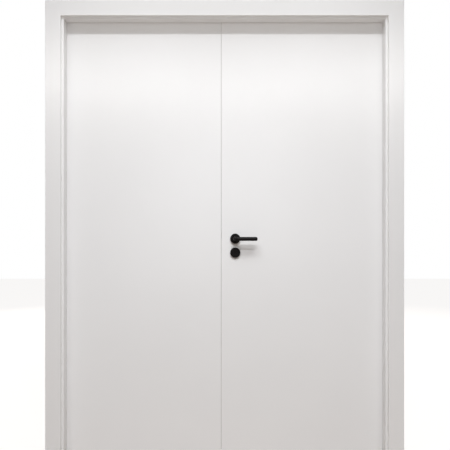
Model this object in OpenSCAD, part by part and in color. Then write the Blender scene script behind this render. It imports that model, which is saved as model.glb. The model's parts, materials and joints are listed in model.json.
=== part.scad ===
// Interior double door: two flush leaves in a rebated lining with square casings.
// X runs along the wall, Y away from the side that the leaves are pushed from, Z up.
// The origin is the middle of the threshold, at floor level and halfway through the wall.

/* [Opening and lining] */
// Clear width between the jambs
clear_w = 1628; // [1300:1:2000]
// Clear height under the head
clear_h = 2214; // [1900:1:2400]
// Thickness of the wall that the lining spans
wall_t = 100; // [88:1:160]
// Thickness of the lining at its stop
lining_t = 40; // [38:1:50]
// Width of the stop that the leaves close against
stop_w = 12; // [11:0.5:15]
// Radius of the lining's eased edges
lining_edge_r = 1.5; // [0.5:0.25:2]

/* [Casings] */
// Width of each casing's face
casing_w = 78; // [50:1:110]
// Thickness of the casings
casing_t = 15; // [10:0.5:15.5]
// Strip of lining left bare inside the front casing
front_margin = 12; // [6:0.5:14]
// Strip of lining left bare inside the rear casing, which clears the knuckles
rear_margin = 10; // [9.5:0.5:12]
// Radius of the casings' eased edges
casing_edge_r = 2; // [0.5:0.5:4]
// Thickness of the tongue that holds a casing in the lining
tongue_t = 4; // [3:0.5:5]
// Length of that tongue
tongue_l = 11; // [6:0.5:12]
// Distance from a casing's inner edge to its tongue
tongue_inset = 4; // [3:0.5:5]

/* [Leaves] */
// Thickness of the leaves
leaf_t = 40; // [38:1:44]
// Distance from the middle of the opening to the meeting line
seam_x = -17; // [-60:1:60]
// Gap between the two leaves
meeting_gap = 3; // [2.5:0.5:5]
// Gap between a leaf and its jamb
hinge_gap = 3; // [2.5:0.5:4]
// Gap between the leaves and the head
head_gap = 3; // [2:0.5:5]
// Gap between the leaves and the floor
floor_gap = 8; // [5:0.5:15]
// Radius of the leaves' eased upright edges
leaf_edge_r = 1.5; // [0.5:0.25:2]

/* [Seal] */
// Distance from the stop to the leaf, filled by the seal
seal_gap = 3; // [2.5:0.25:4]
// Radius of the seal's hollow bulb
bulb_r = 4; // [3.5:0.1:4.5]
// Wall of the bulb
bulb_wall = 1; // [0.7:0.1:1.2]
// Width of the groove for the seal's foot
groove_w = 3; // [2.5:0.25:4]
// Depth of that groove
groove_d = 7; // [5:0.5:9]

/* [Hinges] */
// Height of a hinge
hinge_h = 102; // [80:1:130]
// Width of a flap
flap_w = 32; // [30:0.5:34]
// Thickness of a flap
flap_t = 2.5; // [2.2:0.1:3]
// Radius of a flap's corners
flap_corner_r = 8; // [4:0.5:10]
// Diameter of the knuckles
knuckle_d = 14; // [12:0.5:15]
// Diameter of the pin
pin_d = 8; // [6:0.5:9]
// Diameter of the collar that carries the leaf
collar_d = 12; // [10:0.5:13]
// Thickness of that collar
collar_t = 1; // [0.8:0.1:2]
// Distance from the leaf's face to the pin's axis
pin_proud = 8; // [8:0.25:10]
// Height of the lowest hinge's middle above the leaf's foot
low_hinge_up = 220; // [150:5:300]
// Drop of the top hinge's middle below the leaf's top
top_hinge_down = 200; // [150:5:300]

/* [Screws] */
// Diameter of a wood screw's shank
screw_d = 4; // [3:0.25:4.5]
// Diameter of its countersunk head
screw_head_d = 8; // [7:0.25:9]
// Height of that head
screw_head_h = 2.1; // [1.8:0.1:2.1]
// Length of the screw
screw_l = 25; // [18:0.5:25]
// Length of the screws in front of the flush bolts' rods
short_screw_l = 11; // [9:0.5:11]
// Diameter of the screws that join head and jambs
corner_screw_d = 5; // [4:0.5:6]
// Length of those screws
corner_screw_l = 70; // [50:1:90]
// Diameter of the holes for the wall fixings
fixing_d = 7; // [5:0.5:8]
// Distance between the two holes of a pair
fixing_spacing = 600; // [400:5:650]
// Distance from the floor or the head to the nearest hole
fixing_inset = 100; // [60:5:110]

/* [Lock] */
// Height of the lever's axis above the floor
handle_h = 1100; // [950:5:1150]
// Distance from the leaf's edge to the lever's axis
backset = 70; // [60:1:80]
// Distance from the lever's axis down to the middle of the key rose
lock_centres = 72; // [70:0.5:85]
// Width of the forend
forend_w = 20; // [19:0.5:24]
// Thickness of the forend and the strike
forend_t = 3; // [2.5:0.1:3.5]
// Length of the forend past the case at each end
forend_over = 35; // [30:1:45]
// Thickness of the lock's case
case_t = 16; // [15:0.5:18]
// Wall of the case
case_wall = 1.5; // [1:0.1:1.8]
// Height of the case above the lever's axis
case_up = 50; // [46:1:60]
// Height of the case below the middle of the key rose
case_down = 43; // [38:1:55]
// Depth of the case behind the lever's axis
case_back = 25; // [24:1:35]
// Width of the square spindle
spindle_w = 8; // [7:0.5:9]
// Diameter of the follower's hub
hub_d = 20; // [18:0.5:22]
// Diameter of the follower's bearings
journal_d = 16; // [14:0.5:17]
// Height of the follower's arm above its axis
arm_h = 19; // [17:0.5:19.5]
// Width of the follower's arm
arm_w = 7; // [6:0.5:8]
// Height of the latch
latch_h = 30; // [26:1:31]
// Height of the latch's middle above the lever's axis
latch_up = 16; // [14:1:18]
// Length of the latch outside the forend
latch_out = 11; // [9:0.5:12]
// Width of the latch's tail
tail_w = 4; // [3:0.5:4.5]
// Height of the latch's tail
tail_h = 5; // [4:0.5:5.5]
// Thickness of the latch spring's wire
wire_d = 0.9; // [0.6:0.05:1]
// Number of turns of the latch spring
spring_turns = 7; // [4:1:10]
// Thickness of the deadbolt
deadbolt_t = 8; // [7:0.5:10]
// Height of the deadbolt
deadbolt_h = 34; // [30:1:36]
// Travel of the deadbolt
deadbolt_throw = 14; // [10:0.5:15]
// Depth of the pockets behind the strike
pocket_d = 18; // [16:0.5:25]

/* [Furniture] */
// Diameter of the roses
rose_d = 52; // [50:0.5:56]
// Height of the roses
rose_h = 9; // [8.5:0.25:11]
// Wall of the roses
rose_wall = 1.2; // [1:0.1:1.6]
// Radius of the roses' outer edge
rose_edge_r = 1.5; // [0.5:0.25:2]
// Thickness of the bases under the roses
base_t = 6; // [5:0.25:7]
// Diameter of the lever's round bar
lever_d = 20; // [16:0.5:21]
// Distance from the lever's axis to its tip
lever_reach = 113; // [95:1:140]
// Distance from the leaf's face to the middle of the bar
lever_out = 47; // [42:0.5:60]
// Radius of the bend between neck and bar, at its middle
bend_r = 14; // [12:0.5:18]
// Radius of the tip's rounding
tip_r = 8; // [4:0.5:8]
// Diameter of the bolts through the leaf
bolt_d = 4; // [3:0.5:5]
// Diameter of their heads
bolt_head_d = 7; // [6:0.5:8]
// Distance between the two bolts of a rose
bolt_spacing = 38; // [36:0.5:40]
// Diameter of the grub screws
grub_d = 5; // [4:0.5:6]
// Diameter of the keyhole's round end
keyhole_d = 8; // [7:0.5:9]
// Width of the keyhole's slot
keyhole_slot_w = 3.4; // [2.5:0.1:4]
// Height of the keyhole's round end above the middle of the rose
keyhole_up = 3; // [2:0.5:4]
// Length of the slot below the middle of the rose
keyhole_down = 9; // [7:0.5:10]

/* [Flush bolts] */
// Diameter of the sliding rod
rod_d = 8; // [7.5:0.5:11]
// Travel of the rod
rod_throw = 20; // [14:0.5:20]
// Distance from the leaf's edge to the rod's axis
rod_in = 18; // [17.5:0.5:22]
// Length of the housing's plate
plate_l = 160; // [140:1:200]
// Distance from the leaf's end to the plate
plate_inset = 40; // [30:1:80]
// Length of the housing's body
body_l = 90; // [80:1:110]
// Thickness of the housing's body
body_t = 16; // [15:0.5:17]
// Height of the thumb piece
thumb_h = 12; // [9:0.5:16]
// Width of the thumb piece
thumb_w = 7; // [5:0.5:8]
// Length of the keep in the head, along the opening
keep_l = 60; // [52:1:80]
// Width of the keep
keep_w = 20; // [18:0.5:24]
// Thickness of the keep
keep_t = 2; // [1.5:0.1:2.5]
// Length of the keep's slot
keep_slot_l = 20; // [16:0.5:22]
// Width of the keep's slot
keep_slot_w = 14; // [12:0.1:15]
// Depth of the pocket over the keep
keep_pocket = 22; // [21.5:0.5:24]

/* [Hidden] */
$fn = 48;

// Overshoot of a cut past the face that it leaves through
cut = 1;
// Clearance between pieces that are fixed together
snug = 0.05;
// Clearance between a recess or hole and the piece in it
seat = 0.1;
// Clearance round a piece that slides or turns
play = 0.3;
// Clearance round the lock's works in the leaf's bores
bore_room = 1;
// Overlap of two forms that merge into one piece
weld = 0.5;

lacquer = [0.93, 0.93, 0.93];
black = [0.07, 0.07, 0.07];
steel = [0.72, 0.73, 0.75];
rubber = [0.80, 0.80, 0.79];

half_clear = clear_w / 2;
face_front = -wall_t / 2;
face_rear = wall_t / 2;
leaf_front = face_rear - leaf_t;
leaf_mid = face_rear - leaf_t / 2;
stop_face = leaf_front - seal_gap;
rebate_x = half_clear + stop_w;
rebate_z = clear_h + stop_w;
leaf_top = rebate_z - head_gap;
leaf_h = leaf_top - floor_gap;
active_edge = seam_x + meeting_gap / 2;
passive_edge = seam_x - meeting_gap / 2;
leaf_outer = rebate_x - hinge_gap;

pin_x = rebate_x - hinge_gap / 2;
pin_y = face_rear + pin_proud;
low_hinge_z = floor_gap + low_hinge_up;
top_hinge_z = leaf_top - top_hinge_down;
mid_hinge_z = (low_hinge_z + top_hinge_z) / 2;
hinge_levels = [low_hinge_z, mid_hinge_z, top_hinge_z];
knuckle_h = (hinge_h - collar_t) / 2;
// Solid end of a knuckle past the pin
knuckle_end = 5;
// Radius of a knuckle's eased end
knuckle_edge_r = 1;
pin_half_l = hinge_h / 2 - knuckle_end;
// Places of a flap's screws, from its inner edge and, in hinge heights, from its middle
flap_screws = [[flap_w * 0.22, 0.4], [flap_w * 0.5, 0.16], [flap_w * 0.5, -0.16], [flap_w * 0.22, -0.4]];
// Length and end width of a wood screw's point
screw_tip_h = 5;
screw_tip_d = 1;
// Place of the corner screws, from the clear opening and from the middle of the wall
corner_screw_in = lining_t * 0.6;
corner_screw_y = [-wall_t / 4, wall_t / 4];
fixing_y = (stop_face + face_rear) / 2;
low_fixing_z = fixing_inset;
top_fixing_z = clear_h - fixing_inset - fixing_spacing;

case_l = backset + case_back;
case_h = case_up + lock_centres + case_down;
forend_mid = (case_up - lock_centres - case_down) / 2;
forend_l = case_h + 2 * forend_over;
inside = case_t - 2 * case_wall;
latch_t = inside - 2 * play;
// Travel of the latch when the lever is pressed fully down
latch_travel = latch_out + forend_t / 3;
// Room between the follower and the latch drawn back
latch_room = 18;
latch_back = backset - hub_d / 2 - latch_travel - latch_room;
// Drop of the tail's middle below the latch's top
tail_drop = 6;
tail_z = latch_up + latch_h / 2 - tail_drop;
// Size of the hook behind the follower's arm
hook_w = 6;
tail_end = backset + arm_w / 2 + play + hook_w;
// Length that the latch spring is pressed down to
spring_short_l = 17;
// Place and thickness of the lug that the spring pushes on
lug_u = latch_back + latch_travel + spring_short_l;
lug_w = 3;
coil_r = norm([tail_w, tail_h]) / 2 + play + wire_d / 2;
// Thickness of the latch's nose
nose_t = 2;
// Length of the deadbolt's head
deadbolt_l = 28;
// Foot, height and thickness of the deadbolt's tail, and its reach past the key
bolt_tail_z = 8;
bolt_tail_h = 16;
bolt_tail_t = 3;
bolt_tail_past = 16;
// Radius of the notch that the key turns in
talon_r = 7;
// Radius and place of the peg that guides the tail
guide_r = 2;
guide_u = 44;
bolt_offset = bolt_spacing / 2;
// Screws of the forend, from its ends
forend_screw_in = 12;

strike_mid = (latch_up - lock_centres) / 2;
strike_l = lock_centres + latch_h + 2 * forend_over;
// Height of the strike's lip past the latch at each end
lip_over = 4;
lip_h = latch_h + 2 * lip_over;
// Clearances round the latch and round the deadbolt in the strike
latch_ease = 1;
bolt_ease = 1.2;
latch_hole_w = latch_t + 2 * latch_ease;
latch_hole_h = latch_h + 2 * latch_ease;
bolt_hole_w = deadbolt_t + 2 * bolt_ease;
bolt_hole_h = deadbolt_h + 2 * bolt_ease;

rod_x = passive_edge - rod_in;
plate_mid = -plate_inset - plate_l / 2;
thumb_z = plate_mid - rod_throw / 2;
slot_h = thumb_h + rod_throw + 2 * play;
// Length of the rod behind its thumb piece
rod_tail = 10;
rod_foot = thumb_z - thumb_h / 2 - rod_tail;
// Place of the rod's tip at rest, from the leaf's end
rod_end = -0.5;
// Size of the tip's bevel
rod_bevel = 1.5;

// Cutter that rounds one corner of an outline; turn 0 has the material up and to the right
module corner_cut(at, turn, r) {
    translate(at) rotate(turn) difference() {
        translate([-cut, -cut]) square(r + cut);
        translate([r, r]) circle(r);
    }
}

// Outline of a plate with round ends, w wide and l long, grown by g on every side
module round_ended(w, l, g = 0) {
    for (s = [-1, 1]) translate([0, s * (l - w) / 2]) circle(w / 2 + g);
    square([w + 2 * g, l - w], center = true);
}

// Stands an outline up: its x runs along Y and its y along Z, and it is t thick along X
module plate_yz(t) {
    rotate([90, 0, 90]) linear_extrude(t) children();
}

// Lays an outline along a row: its x runs along X and its y along Z, and it is t thick along Y
module plate_xz(t) {
    translate([0, t, 0]) rotate([90, 0, 0]) linear_extrude(t) children();
}

// Countersunk wood screw along +Z with its head's face at the origin
module wood_screw(l = screw_l) {
    cylinder(h = screw_head_h, d1 = screw_head_d, d2 = screw_d);
    cylinder(h = l - screw_tip_h, d = screw_d);
    translate([0, 0, l - screw_tip_h]) cylinder(h = screw_tip_h, d1 = screw_d, d2 = screw_tip_d);
}

// Hole that the wood screw fills
module wood_screw_hole(l = screw_l) {
    translate([0, 0, -cut]) cylinder(h = cut, d = screw_head_d + 2 * snug);
    cylinder(h = screw_head_h, d1 = screw_head_d + 2 * snug, d2 = screw_d + 2 * snug);
    cylinder(h = l + seat, d = screw_d + 2 * snug);
}

// Frame members

// Everything beside the mitre, on the right of the opening
module upright_region() {
    far = casing_w + lining_t + stop_w;
    translate([0, -wall_t, 0]) plate_xz(2 * wall_t) polygon([
        [half_clear, 0], [half_clear + far, 0],
        [half_clear + far, clear_h + far], [half_clear, clear_h]
    ]);
}

// Everything above the two mitres
module head_region() {
    far = casing_w + lining_t + stop_w;
    translate([0, -wall_t, 0]) plate_xz(2 * wall_t) polygon([
        [-half_clear, clear_h], [half_clear, clear_h],
        [half_clear + far, clear_h + far], [-half_clear - far, clear_h + far]
    ]);
}

// Runs a section up the right of the opening; its x is measured outwards from the clear opening
module upright_right() {
    intersection() {
        translate([half_clear, 0, 0]) linear_extrude(clear_h + casing_w + lining_t) children();
        upright_region();
    }
}

module upright_left() {
    mirror([1, 0, 0]) upright_right() children();
}

// Runs the same section along the head, with its x measured upwards
module along_head() {
    half_l = half_clear + casing_w + lining_t;
    intersection() {
        translate([-half_l, 0, clear_h]) rotate([0, -90, 0]) mirror([0, 0, 1])
            linear_extrude(2 * half_l) children();
        head_region();
    }
}

// Grooves that take the casings' tongues
module tongue_grooves() {
    for (side = [[front_margin, face_front - cut], [stop_w + rear_margin, face_rear - tongue_l - seat]])
        translate([side[0] + tongue_inset - seat, side[1]])
            square([tongue_t + 2 * seat, tongue_l + seat + cut]);
}

module lining_section() {
    difference() {
        polygon([
            [0, face_front], [lining_t, face_front], [lining_t, face_rear],
            [stop_w, face_rear], [stop_w, stop_face], [0, stop_face]
        ]);
        corner_cut([0, face_front], 0, lining_edge_r);
        corner_cut([0, stop_face], 270, lining_edge_r);
        corner_cut([stop_w, face_rear], 270, lining_edge_r);
        translate([(stop_w - groove_w) / 2, stop_face - groove_d]) square([groove_w, groove_d + cut]);
        tongue_grooves();
    }
}

// Section of a casing with its back on y = 0 and its face above
module casing_section() {
    difference() {
        square([casing_w, casing_t]);
        corner_cut([0, casing_t], 270, casing_edge_r);
        corner_cut([casing_w, casing_t], 180, casing_edge_r);
    }
    translate([tongue_inset, -tongue_l]) square([tongue_t, tongue_l + casing_t / 2]);
}

module front_casing_section() {
    translate([front_margin, face_front]) mirror([0, 1]) casing_section();
}

module rear_casing_section() {
    translate([stop_w + rear_margin, face_rear]) casing_section();
}

// Hollow bulb on a foot, pressed into the stop's groove
module seal_section() {
    bulb_y = stop_face + seal_gap - play - bulb_r;
    translate([stop_w / 2, 0]) {
        difference() {
            intersection() {
                translate([0, bulb_y]) circle(bulb_r);
                translate([-bulb_r, stop_face]) square([2 * bulb_r, bulb_r * 2]);
            }
            intersection() {
                translate([0, bulb_y]) circle(bulb_r - bulb_wall);
                translate([-bulb_r, stop_face + bulb_wall]) square([2 * bulb_r, bulb_r * 2]);
            }
        }
        translate([-groove_w / 2 + seat, stop_face - groove_d + seat])
            square([groove_w - 2 * seat, groove_d + bulb_wall / 2]);
    }
}

// Screws along Z through the mitred corner at the right
module corner_screw(grow) {
    for (y = corner_screw_y)
        translate([half_clear + corner_screw_in, y, clear_h + lining_t - corner_screw_l])
            cylinder(h = corner_screw_l + (grow > 0 ? cut : 0), d = corner_screw_d + 2 * grow);
}

// Cuts that both jambs share, on the right of the opening
module jamb_cuts() {
    corner_screw(snug);
    for (z = hinge_levels) translate([pin_x, pin_y, z]) {
        flap_recess();
        flap_screw_places() wood_screw_hole();
    }
    for (z = [low_fixing_z, low_fixing_z + fixing_spacing, top_fixing_z, top_fixing_z + fixing_spacing])
        translate([half_clear, fixing_y, z]) rotate([0, 90, 0]) cylinder(h = lining_t + cut, d = fixing_d);
}

module jamb_right() {
    color(lacquer) difference() {
        upright_right() lining_section();
        jamb_cuts();
    }
}

module jamb_left() {
    color(lacquer) mirror([1, 0, 0]) difference() {
        upright_right() lining_section();
        jamb_cuts();
    }
}

// Recess for the keep and the pocket over it, with the rod's axis as origin
module keep_cuts() {
    translate([0, 0, -cut]) linear_extrude(keep_t + cut) keep_outline(seat);
    translate([-keep_slot_l / 2, -keep_slot_w / 2, 0]) cube([keep_slot_l, keep_slot_w, keep_pocket]);
    keep_screw_places() wood_screw_hole();
}

module head_lining() {
    color(lacquer) difference() {
        along_head() lining_section();
        for (s = [0, 1]) mirror([s, 0, 0]) corner_screw(snug);
        translate([rod_x, leaf_mid, rebate_z]) keep_cuts();
    }
}

module front_casing_left() {
    color(lacquer) upright_left() front_casing_section();
}

module front_casing_right() {
    color(lacquer) upright_right() front_casing_section();
}

module front_casing_head() {
    color(lacquer) along_head() front_casing_section();
}

module rear_casing_left() {
    color(lacquer) upright_left() rear_casing_section();
}

module rear_casing_right() {
    color(lacquer) upright_right() rear_casing_section();
}

module rear_casing_head() {
    color(lacquer) along_head() rear_casing_section();
}

module seal_left() {
    color(rubber) upright_left() seal_section();
}

module seal_right() {
    color(rubber) upright_right() seal_section();
}

module seal_head() {
    color(rubber) along_head() seal_section();
}

module lining_screws() {
    color(steel) for (s = [0, 1]) mirror([s, 0, 0]) corner_screw(0);
}

// Keep for the top bolt

module keep_outline(g = 0) {
    rotate(90) round_ended(keep_w, keep_l, g);
}

module keep_screw_places() {
    for (s = [-1, 1]) translate([s * (keep_l - keep_w) / 2, 0, 0]) children();
}

module top_keep() {
    color(steel) translate([rod_x, leaf_mid, rebate_z]) difference() {
        linear_extrude(keep_t) keep_outline();
        translate([-keep_slot_l / 2, -keep_slot_w / 2, -cut])
            cube([keep_slot_l, keep_slot_w, keep_t + 2 * cut]);
        keep_screw_places() wood_screw_hole();
    }
}

// Hinges, drawn about the pin's axis on the right of the opening, with the jamb at +X

// Outline of a flap: x is measured along Y from the pin's axis, y along Z
module flap_outline(g = 0) {
    difference() {
        translate([-pin_proud - flap_w - g, -hinge_h / 2 - g]) square([flap_w + 2 * g, hinge_h + 2 * g]);
        corner_cut([-pin_proud - flap_w - g, -hinge_h / 2 - g], 0, flap_corner_r);
        corner_cut([-pin_proud - flap_w - g, hinge_h / 2 + g], 270, flap_corner_r);
    }
}

// Recess for a flap, open at the wall's rear face
module flap_recess() {
    translate([hinge_gap / 2 - cut, 0, 0]) plate_yz(flap_t + cut + snug) flap_outline(seat);
}

module flap_screw_places() {
    for (p = flap_screws) translate([hinge_gap / 2, -pin_proud - flap_w + p[0], p[1] * hinge_h])
        rotate([0, 90, 0]) children();
}

// Barrel with eased ends, bored from the end that meets the collar at z = 0
module knuckle(clearance) {
    difference() {
        rotate_extrude() difference() {
            square([knuckle_d / 2, knuckle_h]);
            corner_cut([knuckle_d / 2, knuckle_h], 180, knuckle_edge_r);
        }
        translate([0, 0, -cut]) cylinder(h = knuckle_h - knuckle_end + seat + cut, d = pin_d + 2 * clearance);
    }
}

// One half of a hinge with its knuckle above the collar
module hinge_half(clearance) {
    web_l = pin_proud - sqrt(pow(knuckle_d / 2, 2) - pow(hinge_gap / 2 + flap_t, 2)) + weld;
    difference() {
        union() {
            translate([hinge_gap / 2, 0, 0]) plate_yz(flap_t) flap_outline();
            translate([hinge_gap / 2, -pin_proud, collar_t / 2]) cube([flap_t, web_l, knuckle_h]);
        }
        flap_screw_places() wood_screw_hole();
    }
    translate([0, 0, collar_t / 2]) knuckle(clearance);
}

module frame_half(level) {
    translate([pin_x, pin_y, level]) mirror([0, 0, 1]) hinge_half(snug);
}

module leaf_half(level) {
    translate([pin_x, pin_y, level]) mirror([1, 0, 0]) hinge_half(snug);
}

module hinge_pin(level) {
    translate([pin_x, pin_y, level]) {
        translate([0, 0, -pin_half_l]) cylinder(h = 2 * pin_half_l, d = pin_d);
        translate([0, 0, -collar_t / 2]) cylinder(h = collar_t, d = collar_d);
    }
}

module left_hinge_low_frame() {
    color(steel) mirror([1, 0, 0]) frame_half(low_hinge_z);
}

module left_hinge_mid_frame() {
    color(steel) mirror([1, 0, 0]) frame_half(mid_hinge_z);
}

module left_hinge_top_frame() {
    color(steel) mirror([1, 0, 0]) frame_half(top_hinge_z);
}

module right_hinge_low_frame() {
    color(steel) frame_half(low_hinge_z);
}

module right_hinge_mid_frame() {
    color(steel) frame_half(mid_hinge_z);
}

module right_hinge_top_frame() {
    color(steel) frame_half(top_hinge_z);
}

module left_hinge_low_leaf() {
    color(steel) mirror([1, 0, 0]) leaf_half(low_hinge_z);
}

module left_hinge_mid_leaf() {
    color(steel) mirror([1, 0, 0]) leaf_half(mid_hinge_z);
}

module left_hinge_top_leaf() {
    color(steel) mirror([1, 0, 0]) leaf_half(top_hinge_z);
}

module right_hinge_low_leaf() {
    color(steel) leaf_half(low_hinge_z);
}

module right_hinge_mid_leaf() {
    color(steel) leaf_half(mid_hinge_z);
}

module right_hinge_top_leaf() {
    color(steel) leaf_half(top_hinge_z);
}

module hinge_pins() {
    color(steel) for (s = [0, 1]) mirror([s, 0, 0])
        for (z = hinge_levels) hinge_pin(z);
}

// Screws of the three hinges in the right jamb, or in the right leaf where turned is 1
module hinge_screws(turned) {
    for (z = hinge_levels) translate([pin_x, pin_y, z]) mirror([turned, 0, 0])
        flap_screw_places() wood_screw();
}

module frame_screws() {
    color(steel) {
        for (s = [0, 1]) mirror([s, 0, 0]) hinge_screws(0);
        translate([rod_x, leaf_mid, rebate_z]) keep_screw_places() wood_screw();
    }
}

// Leaves

// Blank leaf between two upright edges
module leaf_blank(from_x, to_x) {
    translate([0, 0, floor_gap]) linear_extrude(leaf_h) difference() {
        translate([from_x, leaf_front]) square([to_x - from_x, leaf_t]);
        corner_cut([from_x, leaf_front], 0, leaf_edge_r);
        corner_cut([to_x, leaf_front], 90, leaf_edge_r);
        corner_cut([to_x, face_rear], 180, leaf_edge_r);
        corner_cut([from_x, face_rear], 270, leaf_edge_r);
    }
}

// Recesses and screw holes of the three hinges in the right leaf
module leaf_hinge_cuts() {
    for (z = hinge_levels) translate([pin_x, pin_y, z]) mirror([1, 0, 0]) {
        flap_recess();
        flap_screw_places() wood_screw_hole();
    }
}

// Moves to the lock: x runs into the active leaf from its edge, z = 0 is the lever's axis
module at_lock() {
    translate([active_edge, leaf_mid, handle_h]) children();
}

// Warded keyhole, with the middle of the key rose as origin
module keyhole_outline(g = 0) {
    translate([0, keyhole_up]) circle(keyhole_d / 2 + g);
    translate([-keyhole_slot_w / 2 - g, -keyhole_down - g])
        square([keyhole_slot_w + 2 * g, keyhole_down + keyhole_up + g]);
}

// Cuts a straight way for the key through t of thickness centred on y = 0
module key_way(t, g) {
    translate([backset, -t / 2, -lock_centres]) plate_xz(t) keyhole_outline(g);
}

// Bores for the four through bolts
module bolt_bores(t, clearance) {
    for (z = [0, -lock_centres], s = [-1, 1])
        translate([backset + s * bolt_offset, t / 2, z]) rotate([90, 0, 0])
            cylinder(h = t, d = bolt_d + 2 * clearance);
}

// Mortise for the case, the forend's recess and the bores across the leaf
module lock_cuts() {
    translate([-cut, 0, forend_mid]) plate_yz(forend_t + cut) round_ended(forend_w, forend_l, seat);
    translate([0, -case_t / 2 - seat, case_up - case_h - seat])
        cube([case_l + seat, case_t + 2 * seat, case_h + 2 * seat]);
    translate([backset, leaf_t / 2 + cut, 0]) rotate([90, 0, 0])
        cylinder(h = leaf_t + 2 * cut, d = journal_d + 2 * bore_room);
    key_way(leaf_t + 2 * cut, bore_room);
    bolt_bores(leaf_t + 2 * cut, seat);
    forend_screw_places() wood_screw_hole();
}

module forend_screw_places() {
    for (s = [-1, 1]) translate([0, 0, forend_mid + s * (forend_l / 2 - forend_screw_in)])
        rotate([0, 90, 0]) children();
}

module active_leaf_panel() {
    color(lacquer) difference() {
        leaf_blank(active_edge, leaf_outer);
        leaf_hinge_cuts();
        at_lock() lock_cuts();
    }
}

module active_leaf_screws() {
    color(steel) {
        hinge_screws(1);
        at_lock() forend_screw_places() wood_screw();
    }
}

// Moves to the passive leaf's meeting edge: x runs into the leaf
module at_passive_edge(z) {
    translate([passive_edge, leaf_mid, z]) mirror([1, 0, 0]) children();
}

// Moves to the end of the passive leaf that a flush bolt leaves by; z runs out of the leaf
module at_top_bolt() {
    at_passive_edge(leaf_top) children();
}

module at_bottom_bolt() {
    at_passive_edge(floor_gap) mirror([0, 0, 1]) children();
}

module flush_bolt_cuts() {
    translate([-cut, 0, plate_mid]) plate_yz(forend_t + cut) round_ended(forend_w, plate_l, seat);
    translate([0, -body_t / 2 - seat, plate_mid - body_l / 2 - seat])
        cube([rod_in + body_t / 2 + seat, body_t + 2 * seat, body_l + 2 * seat]);
    translate([rod_in, 0, plate_mid]) cylinder(h = cut - plate_mid, d = rod_d + 2 * play);
    plate_screw_places() wood_screw_hole(short_screw_l);
}

module plate_screw_places() {
    for (s = [-1, 1]) translate([0, 0, plate_mid + s * (plate_l / 2 - forend_screw_in)])
        rotate([0, 90, 0]) children();
}

// Outline of the strike with its lip, at the edge of the passive leaf
module strike_outline(g = 0) {
    translate([0, strike_mid]) round_ended(forend_w, strike_l, g);
    translate([0, latch_up - lip_h / 2 - g]) square([leaf_t / 2 - leaf_edge_r + g, lip_h + 2 * g]);
}

module strike_cuts() {
    translate([-cut, 0, 0]) plate_yz(forend_t + cut) strike_outline(seat);
    translate([0, -latch_hole_w / 2, latch_up - latch_hole_h / 2])
        cube([pocket_d, latch_hole_w, latch_hole_h]);
    translate([0, -bolt_hole_w / 2, -lock_centres - bolt_hole_h / 2])
        cube([pocket_d, bolt_hole_w, bolt_hole_h]);
    strike_screw_places() wood_screw_hole();
}

module strike_screw_places() {
    for (s = [-1, 1]) translate([0, 0, strike_mid + s * (strike_l / 2 - forend_screw_in)])
        rotate([0, 90, 0]) children();
}

module passive_leaf_panel() {
    color(lacquer) difference() {
        leaf_blank(-leaf_outer, passive_edge);
        mirror([1, 0, 0]) leaf_hinge_cuts();
        at_passive_edge(handle_h) strike_cuts();
        at_top_bolt() flush_bolt_cuts();
        at_bottom_bolt() flush_bolt_cuts();
    }
}

module passive_leaf_screws() {
    color(steel) {
        mirror([1, 0, 0]) hinge_screws(1);
        at_passive_edge(handle_h) strike_screw_places() wood_screw();
        at_top_bolt() plate_screw_places() wood_screw(short_screw_l);
        at_bottom_bolt() plate_screw_places() wood_screw(short_screw_l);
    }
}

module strike_plate() {
    color(steel) at_passive_edge(handle_h) difference() {
        plate_yz(forend_t) strike_outline();
        translate([-cut, -latch_hole_w / 2, latch_up - latch_hole_h / 2])
            cube([forend_t + 2 * cut, latch_hole_w, latch_hole_h]);
        translate([-cut, -bolt_hole_w / 2, -lock_centres - bolt_hole_h / 2])
            cube([forend_t + 2 * cut, bolt_hole_w, bolt_hole_h]);
        strike_screw_places() wood_screw_hole();
    }
}

// Flush bolts, drawn with the leaf's end at z = 0 and the rod leaving along +Z

module flush_bolt_housing() {
    difference() {
        union() {
            translate([0, 0, plate_mid]) plate_yz(forend_t) round_ended(forend_w, plate_l);
            translate([forend_t / 2, -body_t / 2, plate_mid - body_l / 2])
                cube([rod_in + body_t / 2 - forend_t / 2, body_t, body_l]);
        }
        translate([rod_in, 0, rod_foot - play]) cylinder(h = plate_l, d = rod_d + 2 * seat);
        translate([-cut, -thumb_w / 2 - play, plate_mid - slot_h / 2])
            cube([rod_in + cut, thumb_w + 2 * play, slot_h]);
        plate_screw_places() wood_screw_hole(short_screw_l);
    }
}

// Rod with its thumb piece, at rest drawn back into the leaf
module flush_bolt() {
    translate([rod_in, 0, rod_foot]) {
        cylinder(h = rod_end - rod_foot - rod_bevel, d = rod_d);
        translate([0, 0, rod_end - rod_foot - rod_bevel])
            cylinder(h = rod_bevel, d1 = rod_d, d2 = rod_d - 2 * rod_bevel);
    }
    difference() {
        translate([play, -thumb_w / 2, thumb_z - thumb_h / 2]) cube([rod_in - play, thumb_w, thumb_h]);
        translate([0, thumb_w, thumb_z]) rotate([90, 0, 0]) cylinder(h = 2 * thumb_w, d = thumb_h / 2);
    }
}

module top_bolt_housing() {
    color(steel) at_top_bolt() flush_bolt_housing();
}

module bottom_bolt_housing() {
    color(steel) at_bottom_bolt() flush_bolt_housing();
}

module top_bolt() {
    color(steel) at_top_bolt() flush_bolt();
}

module bottom_bolt() {
    color(steel) at_bottom_bolt() flush_bolt();
}

// Lock

// Cylinder across the lock, centred on y = 0
module across(t, d) {
    translate([0, t / 2, 0]) rotate([90, 0, 0]) cylinder(h = t, d = d);
}

// Holes through both sides of the case
module case_holes() {
    translate([backset, 0, 0]) across(2 * case_t, journal_d + 2 * snug);
    key_way(2 * case_t, play);
    bolt_bores(2 * case_t, play);
}

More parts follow.
